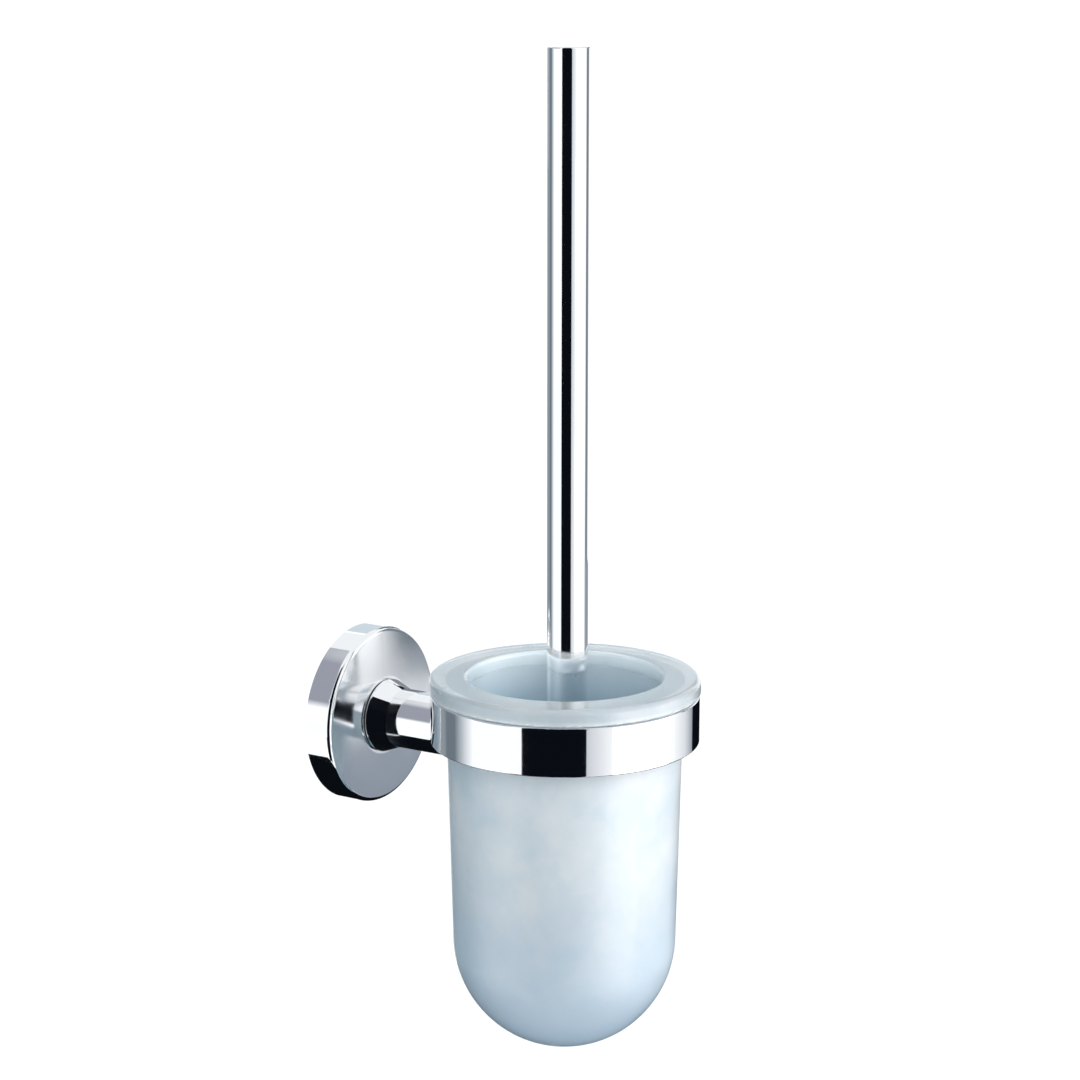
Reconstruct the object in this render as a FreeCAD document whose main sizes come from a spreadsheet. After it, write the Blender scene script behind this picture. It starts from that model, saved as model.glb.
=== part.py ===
"""Wall-mounted toilet brush holder: wall bracket, chrome ring, frosted glass cup and brush.

Frame: +Z up, wall plane at y = 0, origin at the centre of the wall plate's back face.
The arm runs along -Y to the ring, whose axis is vertical at y = -ring_reach.
"""

import FreeCAD
import Part
import math
import os

import Sketcher

doc = FreeCAD.newDocument("toilet_brush_holder")

# Driving dimensions in mm. Heights of the liner, the cup and the brush (names with _top, _bottom
# or _centre) are measured upwards from the ring's centre, and ring_height from the arm's axis.
DIMENSIONS = {
    # Wall plate: a disc screwed to the wall, wider at its front so that the set screw draws it in.
    "plate_radius": 22.0,
    "plate_back_radius": 20.8,
    "plate_thickness": 4.5,
    "plate_recess_radius": 7.0,
    "plate_recess_depth": 2.2,
    "edge_break": 0.3,
    "wall_screw_spacing": 28.0,
    "wall_screw_hole_radius": 2.5,
    "wall_screw_sink_radius": 4.9,
    "wall_screw_sink_depth": 2.4,
    # Mounting socket: the cup behind the cover that slides over the wall plate.
    "socket_radius": 26.0,
    "socket_bore_radius": 22.3,
    "socket_back": 0.5,
    "socket_web": 2.0,
    "socket_hole_radius": 3.1,
    # Rosette cover.
    "cover_radius": 34.4,
    "cover_depth": 11.6,
    "cover_front": 12.6,
    "cover_wall": 1.5,
    "cover_round": 2.0,
    "cover_face_radius": 400.0,
    "cover_land_radius": 15.3,
    "cover_hole_radius": 6.2,
    # Set screw, with a hexagon socket, that enters the cover's skirt from below.
    "set_screw_radius": 2.0,
    "set_screw_length": 8.0,
    "set_screw_depth": 3.2,
    "set_screw_tip_radius": 0.8,
    "set_screw_gap": 0.05,
    "set_screw_key_radius": 1.15,
    "set_screw_key_depth": 3.0,
    "set_screw_access_radius": 2.3,
    # Arm, its seat washer, and the screw and spring washer that hold it to the socket.
    "seat_washer_thickness": 0.4,
    "seat_washer_radius": 13.5,
    "arm_foot_radius": 14.2,
    "arm_foot_rim": 1.0,
    "arm_foot_length": 8.0,
    "arm_radius": 11.5,
    "arm_end_radius": 11.3,
    "arm_edge": 0.5,
    "arm_spigot_radius": 6.0,
    "arm_tap_depth": 14.0,
    "arm_screw_radius": 3.0,
    "arm_screw_length": 14.0,
    "arm_screw_head_radius": 5.0,
    "arm_screw_head_height": 2.9,
    "arm_screw_key_radius": 2.3,
    "arm_screw_key_depth": 1.6,
    "spring_washer_radius": 5.2,
    "spring_washer_thickness": 0.9,
    # Ring that holds the glass, and the two countersunk screws from inside it into the arm.
    "ring_reach": 95.0,
    "ring_height": 12.3,
    "ring_radius": 50.0,
    "ring_bore_radius": 47.0,
    "ring_half_height": 9.0,
    "ring_edge": 0.5,
    "ring_screw_radius": 2.0,
    "ring_screw_offset": 5.0,
    "ring_screw_drop": 4.6,
    "ring_screw_head_radius": 3.75,
    "ring_screw_length": 12.0,
    "ring_screw_key_radius": 1.45,
    "ring_screw_key_depth": 1.4,
    "tap_gap": 0.02,
    # Soft liner: a sleeve inside the ring with a lip over its top edge.
    "liner_radius": 46.9,
    "liner_bore_radius": 44.6,
    "liner_bottom": -8.4,
    "liner_lip_radius": 48.6,
    "liner_lip_thickness": 0.4,
    "liner_lip_edge": 0.15,
    # Glass cup: pressed glass, so its bore only narrows downwards.
    "seat_gap": 0.05,
    "cup_top": 15.6,
    "cup_flange_radius": 50.4,
    "cup_flange_round": 2.2,
    "cup_flange_under_round": 0.8,
    "cup_mouth_radius": 36.4,
    "cup_mouth_round": 1.6,
    "cup_neck_radius": 44.2,
    "cup_neck_round": 0.3,
    "cup_base_radius": 42.0,
    "cup_base_centre": -85.6,
    "cup_inside_radius": 35.9,
    # Handle tube, its top cap and the threaded insert in its lower end.
    "tube_radius": 7.6,
    "tube_wall": 1.0,
    "tube_bottom": -14.0,
    "tube_top": 242.0,
    "cap_top": 243.5,
    "cap_edge": 0.5,
    "cap_spigot_length": 9.0,
    "press_gap": 0.03,
    "insert_length": 18.0,
    "insert_hole_depth": 16.0,
    # Brush head.
    "seal_thickness": 0.8,
    "stud_radius": 3.0,
    "stud_top": 0.5,
    "stud_bottom": -56.0,
    "collar_bottom": -38.0,
    "collar_radius": 12.0,
    "collar_foot": 3.0,
    "collar_edge": 0.9,
    "collar_neck_length": 4.0,
    "core_radius": 9.0,
    "core_flange_thickness": 3.0,
    "core_clearance": 0.4,
    "bristle_top": -41.5,
    "bristle_radius": 33.0,
    "bristle_shoulder": 9.0,
    "fit_gap": 0.05,
    # The brush stands a little off the cup's axis, as a loose brush does.
    "brush_shift_x": 0.5,
    "brush_shift_y": -0.8,
}

dims = doc.addObject("Spreadsheet::Sheet", "dims")
for row, (alias, number) in enumerate(DIMENSIONS.items(), start=1):
    dims.set(f"A{row}", alias)
    dims.set(f"B{row}", str(number))
    dims.setAlias(f"B{row}", alias)
doc.recompute()

# Positions along the arm (negative y) and heights that follow from the driving dimensions.
WEB_FRONT = "(dims.cover_depth - dims.cover_wall)"
WEB_BACK = f"({WEB_FRONT} - dims.socket_web)"
HEAD_SEAT = f"({WEB_BACK} - dims.spring_washer_thickness)"
ARM_FOOT = "(dims.cover_front + dims.seat_washer_thickness)"
FLANGE_SEAT = "(dims.ring_half_height + dims.liner_lip_thickness + dims.seat_gap)"
INSIDE_BOTTOM = "(dims.cup_base_centre - dims.cup_inside_radius)"
TUBE_BORE = "(dims.tube_radius - dims.tube_wall)"
COLLAR_TOP = "(dims.tube_bottom - dims.seal_thickness)"
SET_SCREW_TIP = "(dims.plate_radius + dims.set_screw_gap)"


def value(expression):
    """The number that an expression on the sheet gives now."""
    result = dims.evalExpression(expression)
    return float(getattr(result, "Value", result))


def origin_plane(body, role):
    """The body's own origin plane with this role."""
    return next(plane for plane in body.Origin.OriginFeatures if plane.Role == role)


def hold(sketch, edge, end, expressions):
    """Fix one end of an edge at a pair of expressions, measured from the sketch's origin."""
    axes = (("DistanceX", -2), ("DistanceY", -1))
    for (distance, axis), expression in zip(axes, expressions):
        if expression == "0":
            sketch.addConstraint(Sketcher.Constraint("PointOnObject", edge, end, axis))
        else:
            rule = Sketcher.Constraint(distance, -1, 1, edge, end, value(expression))
            number = sketch.addConstraint(rule)
            sketch.setExpression(f"Constraints[{number}]", expression)


def arc_between(start, end, radius, left):
    """An arc from start to end whose centre lies to the left or right, and whether it was reversed."""
    chord = end - start
    middle = (start + end) * 0.5
    normal = FreeCAD.Vector(-chord.y, chord.x, 0).normalize()
    reach = math.sqrt(max(radius**2 - (chord.Length / 2) ** 2, 0.0))
    centre = middle + normal * (reach if left else -reach)
    first, last = (start, end) if left else (end, start)
    first_angle = math.atan2(first.y - centre.y, first.x - centre.x)
    last_angle = math.atan2(last.y - centre.y, last.x - centre.x)
    circle = Part.Circle(centre, FreeCAD.Vector(0, 0, 1), radius)
    return Part.ArcOfCircle(circle, first_angle, last_angle), not left


def draw(sketch, outline):
    """Draw a closed outline of corners (across, up), each optionally followed by an arc to the next.

    An arc is written (radius, "left") or (radius, "right"), the side that its centre lies on.
    """
    points = [FreeCAD.Vector(value(corner[0]), value(corner[1]), 0) for corner in outline]
    ends = []
    for number, corner in enumerate(outline):
        start = points[number]
        end = points[(number + 1) % len(points)]
        if len(corner) > 2:
            radius, side = corner[2]
            arc, reversed_arc = arc_between(start, end, value(radius), side == "left")
            edge = sketch.addGeometry(arc, False)
            ends.append((edge, 2, 1) if reversed_arc else (edge, 1, 2))
            rule = sketch.addConstraint(Sketcher.Constraint("Radius", edge, value(radius)))
            sketch.setExpression(f"Constraints[{rule}]", radius)
        else:
            edge = sketch.addGeometry(Part.LineSegment(start, end), False)
            ends.append((edge, 1, 2))
    for number, (edge, first, last) in enumerate(ends):
        next_edge, next_first, _ = ends[(number + 1) % len(ends)]
        sketch.addConstraint(Sketcher.Constraint("Coincident", edge, last, next_edge, next_first))
        hold(sketch, edge, first, outline[number][:2])


def softened(across, up, back, ahead, radius="dims.edge_break"):
    """The two outline corners that round off one outer corner, with the arc between them.

    back and ahead are the directions, across and up, towards the corners before and after it.
    """
    first, last = (
        (f"{across} + ({side[0]}) * {radius}", f"{up} + ({side[1]}) * {radius}")
        for side in (back, ahead)
    )
    return [(*first, (radius, "left")), last]


def turned(label, outline, along="arm"):
    """A body turned about the arm's axis, with outline corners (y, radius), or about the ring's
    or the brush's upright axis, with outline corners (radius, height)."""
    body = doc.addObject("PartDesign::Body", label)
    sketch = body.newObject("Sketcher::SketchObject", f"{label}_outline")
    plane = "YZ_Plane" if along == "arm" else "XZ_Plane"
    sketch.AttachmentSupport = [(origin_plane(body, plane), "")]
    sketch.MapMode = "FlatFace"
    draw(sketch, outline)
    revolution = body.newObject("PartDesign::Revolution", f"{label}_turning")
    revolution.Profile = sketch
    revolution.ReferenceAxis = (sketch, ["H_Axis" if along == "arm" else "V_Axis"])
    revolution.Angle = 360.0
    if along == "ring":
        body.setExpression("Placement.Base.y", "-dims.ring_reach")
        body.setExpression("Placement.Base.z", "dims.ring_height")
    if along == "brush":
        body.setExpression("Placement.Base.x", "dims.brush_shift_x")
        body.setExpression("Placement.Base.y", "dims.brush_shift_y - dims.ring_reach")
        body.setExpression("Placement.Base.z", "dims.ring_height")
    body.Label = label
    return body


# Directions that a drill or a hexagon key can point in, as rotations of +Z.
TOWARDS_WALL = FreeCAD.Rotation(FreeCAD.Vector(1, 0, 0), -90)
AWAY_FROM_WALL = FreeCAD.Rotation(FreeCAD.Vector(1, 0, 0), 90)
UPWARDS = FreeCAD.Rotation()


def place(shape_object, position, rotation):
    """Turn a primitive, then bind its position to three expressions."""
    shape_object.Placement = FreeCAD.Placement(FreeCAD.Vector(), rotation)
    for letter, expression in zip("xyz", position):
        shape_object.setExpression(f"Placement.Base.{letter}", expression)


def drill(name, radius, length, position, rotation):
    """A cylinder bound to the sheet, used to cut a hole or to add a shank."""
    tool = doc.addObject("Part::Cylinder", name)
    tool.setExpression("Radius", radius)
    tool.setExpression("Height", length)
    place(tool, position, rotation)
    return tool


def cone(name, first_radius, last_radius, length, position, rotation):
    """A truncated cone bound to the sheet."""
    tool = doc.addObject("Part::Cone", name)
    tool.setExpression("Radius1", first_radius)
    tool.setExpression("Radius2", last_radius)
    tool.setExpression("Height", length)
    place(tool, position, rotation)
    return tool


def hexagon(name, radius, length, position, rotation):
    """A hexagonal prism bound to the sheet, used to cut a key socket."""
    tool = doc.addObject("Part::Prism", name)
    tool.Polygon = 6
    tool.setExpression("Circumradius", radius)
    tool.setExpression("Height", length)
    place(tool, position, rotation)
    return tool


def cut(label, base, tools):
    """The base with every tool taken away; the result is a sub-part of its own."""
    cutter = tools[0]
    if len(tools) > 1:
        cutter = doc.addObject("Part::MultiFuse", f"{label}_cutters")
        cutter.Shapes = tools
    if base.Label == label:
        base.Label = f"{label}_blank"
    result = doc.addObject("Part::Cut", label)
    result.Base = base
    result.Tool = cutter
    result.Label = label
    return result


def fuse(name, shapes):
    """Several solids joined into one."""
    result = doc.addObject("Part::MultiFuse", name)
    result.Shapes = shapes
    return result


def group(label, objects):
    """Separate solids that share one sub-part, such as identical screws."""
    result = doc.addObject("Part::Compound", label)
    result.Links = objects
    result.Label = label
    return result


# The left and right of each pair of fasteners.
SIDES = {"left": "-", "right": ""}


def wall_plate():
    """Steel disc with two countersunk screw holes and a recess for the arm screw's head."""
    recess_floor = "-(dims.plate_thickness - dims.plate_recess_depth)"
    blank = turned("wall_plate", [
        ("0", "0"),
        ("0", "dims.plate_back_radius"),
        ("-dims.plate_thickness + dims.edge_break", "dims.plate_radius"),
        ("-dims.plate_thickness", "dims.plate_radius - dims.edge_break"),
        ("-dims.plate_thickness", "dims.plate_recess_radius"),
        (recess_floor, "dims.plate_recess_radius"),
        (recess_floor, "0"),
    ])
    tools = []
    for side, sign in SIDES.items():
        across = f"{sign}dims.wall_screw_spacing / 2"
        tools.append(drill(
            f"wall_screw_hole_{side}", "dims.wall_screw_hole_radius", "dims.plate_thickness",
            (across, "0", "0"), AWAY_FROM_WALL,
        ))
        tools.append(cone(
            f"wall_screw_sink_{side}", "dims.wall_screw_hole_radius", "dims.wall_screw_sink_radius",
            "dims.wall_screw_sink_depth",
            (across, "-(dims.plate_thickness - dims.wall_screw_sink_depth)", "0"), AWAY_FROM_WALL,
        ))
    return cut("wall_plate", blank, tools)


def mounting_socket():
    """Cup behind the cover that fits over the wall plate and carries the set screw."""
    blank = turned("mounting_socket", [
        *softened("-dims.socket_back", "dims.socket_bore_radius", (-1, 0), (0, 1)),
        *softened("-dims.socket_back", "dims.socket_radius", (0, -1), (-1, 0)),
        *softened(f"-{WEB_FRONT}", "dims.socket_radius", (1, 0), (0, -1)),
        (f"-{WEB_FRONT}", "dims.socket_hole_radius"),
        (f"-{WEB_BACK}", "dims.socket_hole_radius"),
        (f"-{WEB_BACK}", "dims.socket_bore_radius"),
    ])
    tap = drill(
        "set_screw_tap", "dims.set_screw_radius + dims.tap_gap", "dims.cover_radius",
        ("0", "-dims.set_screw_depth", "-dims.cover_radius"), UPWARDS,
    )
    inner = drill(
        "set_screw_tap_end", "dims.socket_bore_radius", "dims.cover_depth",
        ("0", "0", "0"), AWAY_FROM_WALL,
    )
    return cut("mounting_socket", blank, [cut("set_screw_tap_stretch", tap, [inner])])


def rosette_cover():
    """Chromed cover: a shell with a gently domed face, a rounded edge and a flat land for the arm."""
    blank = turned("rosette_cover", [
        ("0", "dims.cover_radius"),
        ("-(dims.cover_depth - dims.cover_round)", "dims.cover_radius", ("dims.cover_round", "left")),
        ("-dims.cover_depth", "dims.cover_radius - dims.cover_round",
         ("dims.cover_face_radius", "left")),
        ("-dims.cover_front", "dims.cover_land_radius"),
        ("-dims.cover_front", "dims.cover_hole_radius"),
        (f"-{WEB_FRONT}", "dims.cover_hole_radius"),
        (f"-{WEB_FRONT}", "dims.cover_radius - dims.cover_wall"),
        ("0", "dims.cover_radius - dims.cover_wall"),
    ])
    access = drill(
        "set_screw_access", "dims.set_screw_access_radius", "2 * dims.cover_wall + dims.cover_round",
        ("0", "-dims.set_screw_depth", "-(dims.cover_radius + dims.cover_wall)"), UPWARDS,
    )
    return cut("rosette_cover", blank, [access])


def set_screw():
    """Grub screw with a cone point and a hexagon socket, upright below the wall plate."""
    point = "(dims.set_screw_radius - dims.set_screw_tip_radius)"
    shank = drill(
        "set_screw_shank", "dims.set_screw_radius", f"dims.set_screw_length - {point}",
        ("0", "-dims.set_screw_depth", f"-({SET_SCREW_TIP} + dims.set_screw_length)"), UPWARDS,
    )
    tip = cone(
        "set_screw_point", "dims.set_screw_radius", "dims.set_screw_tip_radius", point,
        ("0", "-dims.set_screw_depth", f"-({SET_SCREW_TIP} + {point})"), UPWARDS,
    )
    key = hexagon(
        "set_screw_key", "dims.set_screw_key_radius", "dims.set_screw_key_depth",
        ("0", "-dims.set_screw_depth", f"-({SET_SCREW_TIP} + dims.set_screw_length)"), UPWARDS,
    )
    return cut("set_screw", fuse("set_screw_solid", [shank, tip]), [key])


def seat_washer():
    """Thin rubber washer that keeps the arm's foot off the cover's chrome."""
    return turned("arm_seat_washer", [
        ("-dims.cover_front", "dims.cover_hole_radius"),
        ("-dims.cover_front", "dims.seat_washer_radius"),
        (f"-{ARM_FOOT}", "dims.seat_washer_radius"),
        (f"-{ARM_FOOT}", "dims.cover_hole_radius"),
    ])


def bracket_arm():
    """Solid round arm with a spigot and a conical foot behind, and a saddle that fits the ring."""
    blank = turned("bracket_arm", [
        (f"-{WEB_FRONT}", "0"),
        (f"-{WEB_FRONT}", "dims.arm_spigot_radius"),
        (f"-{ARM_FOOT}", "dims.arm_spigot_radius"),
        *softened(f"-{ARM_FOOT}", "dims.arm_foot_radius", (0, -1), (-1, 0), "dims.arm_edge"),
        (f"-({ARM_FOOT} + dims.arm_foot_rim)", "dims.arm_foot_radius"),
        (f"-({ARM_FOOT} + dims.arm_foot_length)", "dims.arm_radius"),
        ("-(dims.ring_reach - dims.ring_bore_radius)", "dims.arm_end_radius"),
        ("-(dims.ring_reach - dims.ring_bore_radius)", "0"),
    ])
    saddle = drill(
        "arm_saddle", "dims.ring_radius + dims.fit_gap", "4 * dims.arm_foot_radius",
        ("0", "-dims.ring_reach", "-2 * dims.arm_foot_radius"), UPWARDS,
    )
    foot_tap = drill(
        "arm_foot_tap", "dims.arm_screw_radius + dims.tap_gap", "dims.arm_tap_depth",
        ("0", f"-{WEB_FRONT}", "0"), AWAY_FROM_WALL,
    )
    tools = [saddle, foot_tap]
    for side, sign in SIDES.items():
        tools.append(drill(
            f"arm_ring_tap_{side}", "dims.ring_screw_radius + dims.tap_gap",
            "dims.ring_screw_length + dims.arm_edge",
            (f"{sign}dims.ring_screw_offset", "-(dims.ring_reach - dims.ring_bore_radius)",
             "dims.ring_height - dims.ring_screw_drop"), TOWARDS_WALL,
        ))
    return cut("bracket_arm", blank, tools)


def arm_screw():
    """Screw from behind the socket into the arm's foot, with a hexagon socket in its head."""
    head_face = f"-({HEAD_SEAT} - dims.arm_screw_head_height)"
    blank = turned("arm_screw", [
        (head_face, "0"),
        *softened(head_face, "dims.arm_screw_head_radius", (0, -1), (-1, 0)),
        (f"-{HEAD_SEAT}", "dims.arm_screw_head_radius"),
        (f"-{HEAD_SEAT}", "dims.arm_screw_radius"),
        (f"-({HEAD_SEAT} + dims.arm_screw_length)", "dims.arm_screw_radius"),
        (f"-({HEAD_SEAT} + dims.arm_screw_length)", "0"),
    ])
    key = hexagon(
        "arm_screw_key", "dims.arm_screw_key_radius", "dims.arm_screw_key_depth",
        ("0", head_face, "0"), AWAY_FROM_WALL,
    )
    return cut("arm_screw", blank, [key])


def spring_washer():
    """Washer between the arm screw's head and the socket's web."""
    return turned("arm_screw_washer", [
        (f"-{HEAD_SEAT}", "dims.socket_hole_radius"),
        (f"-{HEAD_SEAT}", "dims.spring_washer_radius"),
        (f"-{WEB_BACK}", "dims.spring_washer_radius"),
        (f"-{WEB_BACK}", "dims.socket_hole_radius"),
    ])


def holder_ring():
    """Polished band with softened edges and two countersunk holes on the arm's side."""
    inner_edge = "dims.ring_bore_radius + dims.ring_edge"
    outer_edge = "dims.ring_radius - dims.ring_edge"
    edge_height = "(dims.ring_half_height - dims.ring_edge)"
    blank = turned("holder_ring", [
        ("dims.ring_bore_radius", f"-{edge_height}", ("dims.ring_edge", "left")),
        (inner_edge, "-dims.ring_half_height"),
        (outer_edge, "-dims.ring_half_height", ("dims.ring_edge", "left")),
        ("dims.ring_radius", f"-{edge_height}"),
        ("dims.ring_radius", edge_height, ("dims.ring_edge", "left")),
        (outer_edge, "dims.ring_half_height"),
        (inner_edge, "dims.ring_half_height", ("dims.ring_edge", "left")),
        ("dims.ring_bore_radius", edge_height),
    ], along="ring")
    head_face = "-(dims.ring_reach - dims.ring_bore_radius)"
    height = "dims.ring_height - dims.ring_screw_drop"
    sink = "(dims.ring_screw_head_radius - dims.ring_screw_radius)"
    tools = []
    for side, sign in SIDES.items():
        across = f"{sign}dims.ring_screw_offset"
        tools.append(drill(
            f"ring_hole_{side}", "dims.ring_screw_radius + dims.fit_gap", "dims.ring_screw_length",
            (across, head_face, height), TOWARDS_WALL,
        ))
        tools.append(cone(
            f"ring_sink_{side}", "dims.ring_screw_head_radius + dims.fit_gap",
            "dims.ring_screw_radius + dims.fit_gap", sink,
            (across, head_face, height), TOWARDS_WALL,
        ))
        tools.append(drill(
            f"ring_spotface_{side}", "dims.ring_screw_head_radius + dims.fit_gap",
            "2 * dims.ring_edge",
            (across, f"{head_face} - 2 * dims.ring_edge", height), TOWARDS_WALL,
        ))
    return cut("holder_ring", blank, tools)


def ring_screws():
    """Two countersunk screws from inside the ring into the arm's end."""
    head_face = "-(dims.ring_reach - dims.ring_bore_radius)"
    height = "dims.ring_height - dims.ring_screw_drop"
    sink = "(dims.ring_screw_head_radius - dims.ring_screw_radius)"
    screws = []
    for side, sign in SIDES.items():
        across = f"{sign}dims.ring_screw_offset"
        shank = drill(
            f"ring_screw_shank_{side}", "dims.ring_screw_radius", "dims.ring_screw_length",
            (across, head_face, height), TOWARDS_WALL,
        )
        head = cone(
            f"ring_screw_head_{side}", "dims.ring_screw_head_radius", "dims.ring_screw_radius", sink,
            (across, head_face, height), TOWARDS_WALL,
        )
        key = hexagon(
            f"ring_screw_key_{side}", "dims.ring_screw_key_radius", "dims.ring_screw_key_depth",
            (across, head_face, height), TOWARDS_WALL,
        )
        screws.append(cut(f"ring_screw_{side}", fuse(f"ring_screw_solid_{side}", [shank, head]), [key]))
    return group("ring_screws", screws)


def ring_liner():
    """Soft clear sleeve inside the ring, with a lip that the glass rests on."""
    lip_top = "dims.ring_half_height + dims.liner_lip_thickness"
    edge = "dims.liner_lip_edge"
    return turned("ring_liner", [
        ("dims.liner_bore_radius", "dims.liner_bottom"),
        ("dims.liner_radius", "dims.liner_bottom"),
        ("dims.liner_radius", "dims.ring_half_height"),
        *softened("dims.liner_lip_radius", "dims.ring_half_height", (-1, 0), (0, 1), edge),
        *softened("dims.liner_lip_radius", lip_top, (0, -1), (-1, 0), edge),
        ("dims.liner_bore_radius", lip_top),
    ], along="ring")


def glass_cup():
    """Frosted cup with a thick rounded flange and a round bottom."""
    top_round = "dims.cup_flange_round"
    under_round = "dims.cup_flange_under_round"
    neck_round = "dims.cup_neck_round"
    mouth_round = "dims.cup_mouth_round"
    return turned("glass_cup", [
        ("0", "dims.cup_base_centre - dims.cup_base_radius", ("dims.cup_base_radius", "left")),
        ("dims.cup_base_radius", "dims.cup_base_centre"),
        ("dims.cup_neck_radius", f"{FLANGE_SEAT} - {neck_round}", (neck_round, "right")),
        (f"dims.cup_neck_radius + {neck_round}", FLANGE_SEAT),
        (f"dims.cup_flange_radius - {under_round}", FLANGE_SEAT, (under_round, "left")),
        ("dims.cup_flange_radius", f"{FLANGE_SEAT} + {under_round}"),
        ("dims.cup_flange_radius", f"dims.cup_top - {top_round}", (top_round, "left")),
        (f"dims.cup_flange_radius - {top_round}", "dims.cup_top"),
        (f"dims.cup_mouth_radius + {mouth_round}", "dims.cup_top", (mouth_round, "left")),
        ("dims.cup_mouth_radius", f"dims.cup_top - {mouth_round}"),
        ("dims.cup_inside_radius", "dims.cup_base_centre", ("dims.cup_inside_radius", "right")),
        ("0", INSIDE_BOTTOM),
    ], along="ring")


def handle_tube():
    """Long straight chromed tube, open at both ends."""
    return turned("handle_tube", [
        (TUBE_BORE, "dims.tube_bottom"),
        *softened("dims.tube_radius", "dims.tube_bottom", (-1, 0), (0, 1)),
        ("dims.tube_radius", "dims.tube_top"),
        (TUBE_BORE, "dims.tube_top"),
    ], along="brush")


def handle_top_cap():
    """Flat cap, as wide as the tube, with a spigot pressed into it."""
    spigot = f"{TUBE_BORE} - dims.press_gap"
    return turned("handle_top_cap", [
        ("0", "dims.tube_top - dims.cap_spigot_length"),
        (spigot, "dims.tube_top - dims.cap_spigot_length"),
        (spigot, "dims.tube_top"),
        ("dims.tube_radius", "dims.tube_top"),
        *softened("dims.tube_radius", "dims.cap_top", (0, -1), (-1, 0), "dims.cap_edge"),
        ("0", "dims.cap_top"),
    ], along="brush")


def handle_insert():
    """Threaded bush pressed into the tube's lower end; the thread is a plain bore."""
    bush = f"{TUBE_BORE} - dims.press_gap"
    bore = "dims.stud_radius + dims.tap_gap"
    return turned("handle_insert", [
        (bore, "dims.tube_bottom"),
        (bush, "dims.tube_bottom"),
        (bush, "dims.tube_bottom + dims.insert_length"),
        ("0", "dims.tube_bottom + dims.insert_length"),
        ("0", "dims.tube_bottom + dims.insert_hole_depth"),
        (bore, "dims.tube_bottom + dims.insert_hole_depth"),
    ], along="brush")


def handle_seal():
    """Flat rubber washer between the tube's end and the brush head's collar."""
    return turned("handle_seal", [
        ("dims.stud_radius + dims.fit_gap", COLLAR_TOP),
        ("dims.tube_radius - dims.fit_gap", COLLAR_TOP),
        ("dims.tube_radius - dims.fit_gap", "dims.tube_bottom"),
        ("dims.stud_radius + dims.fit_gap", "dims.tube_bottom"),
    ], along="brush")


def head_stud():
    """Threaded stud that screws the head to the handle; the thread is a plain shank."""
    return turned("head_stud", [
        ("0", "dims.stud_bottom"),
        ("dims.stud_radius", "dims.stud_bottom"),
        ("dims.stud_radius", "dims.stud_top"),
        ("0", "dims.stud_top"),
    ], along="brush")


def head_collar():
    """Conical neck of the brush head, from the head's width to the tube's."""
    bore = "dims.stud_radius + dims.fit_gap"
    return turned("head_collar", [
        (bore, "dims.collar_bottom"),
        *softened("dims.collar_radius", "dims.collar_bottom", (-1, 0), (0, 1)),
        *softened(
            "dims.collar_radius", "dims.collar_bottom + dims.collar_foot", (0, -1), (-1, 0),
            "dims.collar_edge",
        ),
        ("dims.tube_radius", f"{COLLAR_TOP} - dims.collar_neck_length"),
        *softened("dims.tube_radius", COLLAR_TOP, (0, -1), (-1, 0)),
        (bore, COLLAR_TOP),
    ], along="brush")


def brush_core():
    """Core that the bristles are set in, with a round tip that stands on the cup's bottom."""
    bore = "dims.stud_radius + dims.fit_gap"
    tip = f"({INSIDE_BOTTOM} + dims.core_clearance)"
    flange_bottom = "dims.collar_bottom - dims.core_flange_thickness"
    return turned("brush_core", [
        ("0", tip, ("dims.core_radius", "left")),
        ("dims.core_radius", f"{tip} + dims.core_radius"),
        ("dims.core_radius", flange_bottom),
        *softened("dims.collar_radius", flange_bottom, (-1, 0), (0, 1)),
        *softened("dims.collar_radius", "dims.collar_bottom", (0, -1), (-1, 0)),
        (bore, "dims.collar_bottom"),
        (bore, "dims.stud_bottom - dims.fit_gap"),
        ("0", "dims.stud_bottom - dims.fit_gap"),
    ], along="brush")


def brush_bristles():
    """The bristles as one closed solid: a round-ended barrel about the core."""
    bore = "(dims.core_radius + dims.fit_gap)"
    shoulder = "dims.bristle_shoulder"
    bottom = f"dims.cup_base_centre - sqrt(dims.bristle_radius ^ 2 - {bore} ^ 2)"
    return turned("brush_bristles", [
        (bore, bottom, ("dims.bristle_radius", "left")),
        ("dims.bristle_radius", "dims.cup_base_centre"),
        ("dims.bristle_radius", f"dims.bristle_top - {shoulder}", (shoulder, "left")),
        (f"dims.bristle_radius - {shoulder}", "dims.bristle_top"),
        (bore, "dims.bristle_top"),
    ], along="brush")


sub_parts = [
    wall_plate(),
    mounting_socket(),
    rosette_cover(),
    set_screw(),
    seat_washer(),
    bracket_arm(),
    arm_screw(),
    spring_washer(),
    holder_ring(),
    ring_screws(),
    ring_liner(),
    glass_cup(),
    handle_tube(),
    handle_top_cap(),
    handle_insert(),
    handle_seal(),
    head_stud(),
    head_collar(),
    brush_core(),
    brush_bristles(),
]
doc.recompute()

for item in doc.Objects:
    if "Invalid" in item.State or "Error" in item.State:
        raise RuntimeError(f"{item.Label} failed to compute: {item.State}")
for sub_part in sub_parts:
    if sub_part.Shape.isNull() or not sub_part.Shape.isValid():
        raise RuntimeError(f"{sub_part.Label} has no valid shape")

os.makedirs("parts", exist_ok=True)
for sub_part in sub_parts:
    shape = sub_part.Shape
    shape.exportStep(f"parts/{sub_part.Label}.step")
    box = shape.optimalBoundingBox(False)
    print(
        f"{sub_part.Label}: {len(shape.Solids)} solid(s), {shape.Volume:.0f} mm3, "
        f"x {box.XMin:.1f}..{box.XMax:.1f}, y {box.YMin:.1f}..{box.YMax:.1f}, "
        f"z {box.ZMin:.1f}..{box.ZMax:.1f}"
    )
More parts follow.
